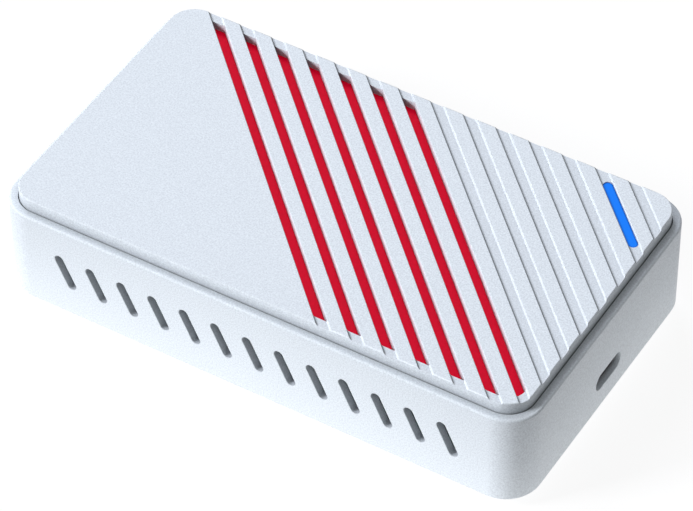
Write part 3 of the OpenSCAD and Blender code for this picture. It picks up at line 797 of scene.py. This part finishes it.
class CAPTUREBOX_OT_video_ports(bpy.types.Operator):
    """Two video ports at the left end: folded shells with springs, tongues and contacts"""
    bl_idname = "capture_box.video_ports"
    bl_label = "Video Ports"

    def execute(self, context):
        settings = settings_of(context)
        for way in ("in", "out"):
            self.build_port(settings, way)
        return {"FINISHED"}

    def build_port(self, settings, way):
        edge = settings.sizes.port_edge
        shell, insert = f"{way}put_shell", f"{way}put_insert"
        name = f"video_{way}"
        metal = once(nickel_steel, settings)
        soften_node(name + "_shell", shell, edge, metal, "case", "port_shell")
        soften_node(name + "_tongue", insert, edge, once(port_resin, settings), "case", "port_insert")

        low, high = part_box(shell)
        middle = (low + high) / 2
        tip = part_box(insert)[0].x
        pitch, width, proud, length, tongue_half = 1.0 * MM, 0.42 * MM, 0.05 * MM, 5.0 * MM, 0.5 * MM
        shape = bmesh.new()
        for face, count in ((1, 10), (-1, 9)):
            for i in range(count):
                y = middle.y + (i - (count - 1) / 2) * pitch
                z = middle.z + face * tongue_half
                add_block(shape, (tip + 0.5 * MM, y - width / 2, z - proud),
                          (tip + length, y + width / 2, z + proud))
        add_piece(name + "_contacts", shape, [once(gold_flash, settings)], "case", "port_shell")

        wall, spring_w, spring_t, bow, reach = 0.45 * MM, 2.0 * MM, 0.15 * MM, 0.55 * MM, 5.5 * MM
        shape = bmesh.new()
        for y in (-3.6 * MM, 3.6 * MM):
            start = Vector((low.x + 0.6 * MM, middle.y + y - spring_w / 2, high.z - wall))
            steps = ((0, 0), (0.25, 0.4), (0.5, 1), (0.7, 1), (0.9, 0.3), (1, 0))
            line = [start + Vector((share * reach, 0, -depth * bow)) for share, depth in steps]
            add_strip(shape, line, Vector((0, spring_w, 0)), spring_t)
        add_piece(name + "_springs", shape, [metal], "case", "port_shell")


class CAPTUREBOX_OT_cooling(bpy.types.Operator):
    """Extruded heat sink, its push pins, and the silicone pad under it"""
    bl_idname = "capture_box.cooling"
    bl_label = "Heat Sink"

    def execute(self, context):
        settings = settings_of(context)
        edge = settings.sizes.metal_edge
        soften_node("finned_sink", "heat_sink", edge, once(extruded_aluminium, settings), "case",
                    "sink_aluminium")
        soften_node("push_pins", "sink_pins", 2 * edge, once(natural_nylon, settings), "case", "pin_nylon")
        soften_node("gap_pad", "thermal_pad", edge, once(gap_silicone, settings), "case", "thermal_pad")
        return {"FINISHED"}


class CAPTUREBOX_OT_chips(bpy.types.Operator):
    """Chips: flat ones over a substrate, and leaded ones with bent leads"""
    bl_idname = "capture_box.chips"
    bl_label = "Chips"

    def execute(self, context):
        settings = settings_of(context)
        flat_chip("processor_package", "video_chip", settings, 0.5 * MM)
        flat_chip("memory_packages", "memory_chips", settings, 0.3 * MM)
        flat_chip("controller_package", "data_chip", settings, 0.2 * MM)
        right, left, back, front = (1, 0, 0), (-1, 0, 0), (0, 1, 0), (0, -1, 0)
        all_round = [(side, 12) for side in (right, left, back, front)]
        leaded_chip("receiver_package", "receiver_chip", settings, all_round)
        leaded_chip("splitter_package", "splitter_chip", settings, all_round)
        leaded_chip("flash_package", "flash_chip", settings, [(back, 4), (front, 4)])
        return {"FINISHED"}


class CAPTUREBOX_OT_inductors(bpy.types.Operator):
    """Pressed power inductors with tinned terminals"""
    bl_idname = "capture_box.inductors"
    bl_label = "Power Inductors"

    def execute(self, context):
        settings = settings_of(context)
        plate, plate_w, plate_h, corner = 0.2 * MM, 2.2 * MM, 1.0 * MM, 1.1 * MM
        shape = bmesh.new()
        bodies = [(low + Vector((plate, 0, 0)), high - Vector((plate, 0, 0))) for low, high in
                  solids_of("power_inductors")]
        for low, high in bodies:
            add_block(shape, low, high)
        upright = [e for e in shape.edges if abs(e.verts[0].co.z - e.verts[1].co.z) > 0.5 * e.calc_length()]
        bmesh.ops.bevel(shape, geom=upright, offset=corner, offset_type="OFFSET", affect="EDGES",
                        segments=6, profile=0.5, material=-1)
        round_edges(shape, 2 * settings.sizes.part_edge)
        for low, high in bodies:
            middle = (low + high) / 2
            for x, side in ((low.x, -1), (high.x, 1)):
                ends = sorted((x + side * plate, x - side * plate))
                add_block(shape, (ends[0], middle.y - plate_w / 2, low.z),
                          (ends[1], middle.y + plate_w / 2, low.z + plate_h), 1)
        add_piece("inductor_set", shape, [once(pressed_ferrite, settings), once(tin_plate, settings)],
                  "case", "inductor_ferrite", "power_inductors")
        return {"FINISHED"}


class CAPTUREBOX_OT_cans(bpy.types.Operator):
    """Bulk capacitors: drawn cans with a rolled neck and a marked top, on resin bases"""
    bl_idname = "capture_box.cans"
    bl_label = "Bulk Capacitors"

    def execute(self, context):
        settings = settings_of(context)
        radius, base_h, slope = 3.15 * MM, 0.9 * MM, 1.2 * MM
        neck, neck_h, rim, dish = 0.22 * MM, 0.5 * MM, 0.4 * MM, 0.12 * MM
        boxes = solids_of("bulk_capacitors")
        shape = bmesh.new()
        for low, high in boxes:
            foot = Vector(((low.x + high.x) / 2, (low.y + high.y) / 2, low.z))
            top = high.z - low.z
            neck_z = base_h + 1.5 * neck_h
            profile = [(0, base_h), (radius - neck, base_h), (radius, base_h + neck_h / 2),
                       (radius, neck_z), (radius - neck, neck_z + neck_h / 2), (radius, neck_z + neck_h),
                       (radius, top - rim), (radius - 0.3 * rim, top - 0.3 * rim), (radius - rim, top),
                       (radius - 1.6 * rim, top - dish), (0, top - dish)]
            add_turned(shape, foot, profile)
        for low, high in boxes:
            limit = (low.x + high.x) / 2 - 0.35 * radius
            for face in shape.faces:
                middle = face.calc_center_median()
                if face.normal.z > 0.9 and low.x < middle.x < limit and middle.z > high.z - 2 * dish:
                    face.material_index = 1
        for low, high in boxes:
            faces = add_block(shape, low, (high.x, high.y, low.z + base_h), 2)
            corners = [e for f in faces for e in f.edges if e.verts[0].co.x < (low.x + high.x) / 2
                       and abs(e.verts[0].co.z - e.verts[1].co.z) > base_h / 2]
            bmesh.ops.bevel(shape, geom=list(set(corners)), offset=slope, offset_type="OFFSET",
                            affect="EDGES", segments=1, profile=0.5, material=-1)
        finishes = [once(drawn_aluminium, settings), once(can_ink, settings), once(port_resin, settings)]
        add_piece("capacitor_cans", shape, finishes, "case", "capacitor_can", "bulk_capacitors")
        return {"FINISHED"}


class CAPTUREBOX_OT_small_parts(bpy.types.Operator):
    """Ceramic capacitors and crystals"""
    bl_idname = "capture_box.small_parts"
    bl_label = "Small Components"

    def execute(self, context):
        settings = settings_of(context)
        cap, edge = settings.sizes.end_cap, 0.06 * MM
        waist = Vector((0.04, 0, 0.04)) * MM
        shape = bmesh.new()
        for low, high in solids_of("ceramic_capacitors"):
            inner = Vector((0, cap, 0))
            add_block(shape, low + inner + waist, high - inner - waist)
            add_block(shape, low, (high.x, low.y + cap, high.z), 1)
            add_block(shape, (low.x, high.y - cap, low.z), high, 1)
        round_edges(shape, edge)
        add_piece("ceramic_set", shape, [once(fired_ceramic, settings), once(tin_plate, settings)], "case",
                  "capacitor_ceramic", "ceramic_capacitors")

        shape = bmesh.new()
        lid_inset, base_share = 0.2 * MM, 0.45
        for low, high in solids_of("crystals"):
            seam = low.z + base_share * (high.z - low.z)
            add_block(shape, low, (high.x, high.y, seam), 1)
            add_block(shape, (low.x + lid_inset, low.y + lid_inset, seam),
                      (high.x - lid_inset, high.y - lid_inset, high.z))
        round_edges(shape, settings.sizes.part_edge)
        add_piece("crystal_cans", shape, [once(nickel_steel, settings), once(port_resin, settings)], "case",
                  "crystal_can", "crystals")
        return {"FINISHED"}


# Stage


def face_towards(thing, target):
    """Turns a lamp or the camera so that it looks at target."""
    thing.rotation_mode = "QUATERNION"
    thing.rotation_quaternion = (Vector(target) - thing.location).to_track_quat("-Z", "Y")


def heading(azimuth, elevation):
    """Unit vector from the box towards an azimuth, counted from the front to the right, and an elevation."""
    return Vector((math.sin(azimuth) * math.cos(elevation), -math.cos(azimuth) * math.cos(elevation),
                   math.sin(elevation)))


def add_softbox(name, azimuth_deg, elevation_deg, side, level, tint):
    """A square lamp that lights a surface facing it at level times its own colour."""
    away = 3.0
    lamp = bpy.data.lights.new(name, "AREA")
    lamp.size = side
    lamp.energy = level * (math.pi * away) ** 2
    lamp.color = linear(tint)[:3]
    softbox = bpy.data.objects.new(name, lamp)
    bpy.context.scene.collection.objects.link(softbox)
    softbox.location = away * heading(math.radians(azimuth_deg), math.radians(elevation_deg))
    face_towards(softbox, (0, 0, 0))


def seen_directly(tree):
    """1 where the eye, a reflection or a clear piece looks at a surface, and 0 where it only gives light."""
    path = add_node(tree, "ShaderNodeLightPath")
    seen = path.outputs["Is Camera Ray"]
    for kind in ("Is Glossy Ray", "Is Transmission Ray"):
        seen = add_node(tree, "ShaderNodeMath", {0: seen, 1: path.outputs[kind]},
                        operation="MAXIMUM").outputs[0]
    return seen


class CAPTUREBOX_OT_stage(bpy.types.Operator):
    """White floor, softboxes and the camera"""
    bl_idname = "capture_box.stage"
    bl_label = "Stage"

    def execute(self, context):
        studio = settings_of(context).studio
        scene = context.scene
        scene.view_settings.view_transform = "Standard"
        camera = bpy.data.objects.new("camera", bpy.data.cameras.new("camera"))
        scene.collection.objects.link(camera)
        camera.data.sensor_width = 36.0
        camera.data.lens = studio.lens
        towards = heading(studio.azimuth, studio.elevation)
        camera.location = Vector(studio.target) + studio.distance * towards
        face_towards(camera, studio.target)
        scene.camera = camera

        shape = bmesh.new()
        bmesh.ops.create_circle(shape, cap_ends=True, segments=64, radius=3.0)
        mesh = bpy.data.meshes.new("floor")
        shape.to_mesh(mesh)
        shape.free()
        floor = bpy.data.objects.new("floor", mesh)
        scene.collection.objects.link(floor)
        paper = bpy.data.materials.new("white_paper_sweep")
        paper.use_nodes = True
        tree = paper.node_tree
        tree.nodes.clear()
        lit = add_node(tree, "ShaderNodeBsdfDiffuse", {"Color": linear("949494")})
        place = add_node(tree, "ShaderNodeTexCoord").outputs["Object"]
        pool_x, pool_y = 95 * MM, 70 * MM
        oval = add_node(tree, "ShaderNodeMapping", {"Vector": place, "Scale": (1 / pool_x, 1 / pool_y, 1)})
        away = add_node(tree, "ShaderNodeVectorMath", {0: oval.outputs["Vector"]}, operation="LENGTH")
        pool = add_node(tree, "ShaderNodeMapRange", {"Value": away.outputs["Value"], "From Min": 0.9,
                                                     "From Max": 1.2, "To Min": 0.84, "To Max": 0.0})
        glow = add_node(tree, "ShaderNodeEmission", {"Color": linear("FFFFFF"),
                                                     "Strength": pool.outputs["Result"]})
        lit = add_node(tree, "ShaderNodeAddShader", {0: lit.outputs[0], 1: glow.outputs[0]})
        faint = add_node(tree, "ShaderNodeBsdfDiffuse", {"Color": linear("666666")})
        plain = add_node(tree, "ShaderNodeEmission", {"Color": linear("FFFFFF"), "Strength": 0.9})
        white = add_node(tree, "ShaderNodeAddShader", {0: faint.outputs[0], 1: plain.outputs[0]})
        both = add_node(tree, "ShaderNodeMixShader", {0: seen_directly(tree), 1: lit.outputs[0],
                                                      2: white.outputs[0]})
        add_node(tree, "ShaderNodeOutputMaterial", {"Surface": both.outputs[0]})
        mesh.materials.append(paper)

        world = bpy.data.worlds.new("white_room")
        world.use_nodes = True
        scene.world = world
        tree = world.node_tree
        tree.nodes.clear()
        dim = add_node(tree, "ShaderNodeBackground", {"Color": linear("FFFFFF"), "Strength": 0.23})
        white = add_node(tree, "ShaderNodeBackground", {"Color": (1.0, 1.0, 1.0, 1.0), "Strength": 1.0})
        both = add_node(tree, "ShaderNodeMixShader", {0: seen_directly(tree), 1: dim.outputs[0],
                                                      2: white.outputs[0]})
        add_node(tree, "ShaderNodeOutputWorld", {"Surface": both.outputs[0]})

        add_softbox("back_softbox", -130, 50, 1.0, 0.32, "EEF3FF")
        add_softbox("front_softbox", -45, 32, 0.8, 0.9, "F8FAFF")
        return {"FINISHED"}


OPERATORS = (CAPTUREBOX_OT_shell, CAPTUREBOX_OT_accent, CAPTUREBOX_OT_light_bar, CAPTUREBOX_OT_feet,
             CAPTUREBOX_OT_board, CAPTUREBOX_OT_data_port, CAPTUREBOX_OT_video_ports, CAPTUREBOX_OT_cooling,
             CAPTUREBOX_OT_chips, CAPTUREBOX_OT_inductors, CAPTUREBOX_OT_cans, CAPTUREBOX_OT_small_parts,
             CAPTUREBOX_OT_stage)


class CAPTUREBOX_PT_pieces(bpy.types.Panel):
    """Lists the pieces and the stage"""
    bl_idname = "CAPTUREBOX_PT_pieces"
    bl_label = "Capture Box"
    bl_space_type = "VIEW_3D"
    bl_region_type = "UI"
    bl_category = "Capture Box"

    def draw(self, context):
        for operator in OPERATORS:
            self.layout.operator(operator.bl_idname)


CLASSES = (CaptureBoxSizes, CaptureBoxColours, CaptureBoxStudio, CaptureBoxSettings, *OPERATORS,
           CAPTUREBOX_PT_pieces)


def register():
    for cls in CLASSES:
        bpy.utils.register_class(cls)
    bpy.types.Scene.capture_box = PointerProperty(type=CaptureBoxSettings)


def unregister():
    del bpy.types.Scene.capture_box
    for cls in reversed(CLASSES):
        bpy.utils.unregister_class(cls)


def main():
    register()
    for operator in OPERATORS:
        group, name = operator.bl_idname.split(".")
        getattr(getattr(bpy.ops, group), name)()


if __name__ == "__main__":
    main()
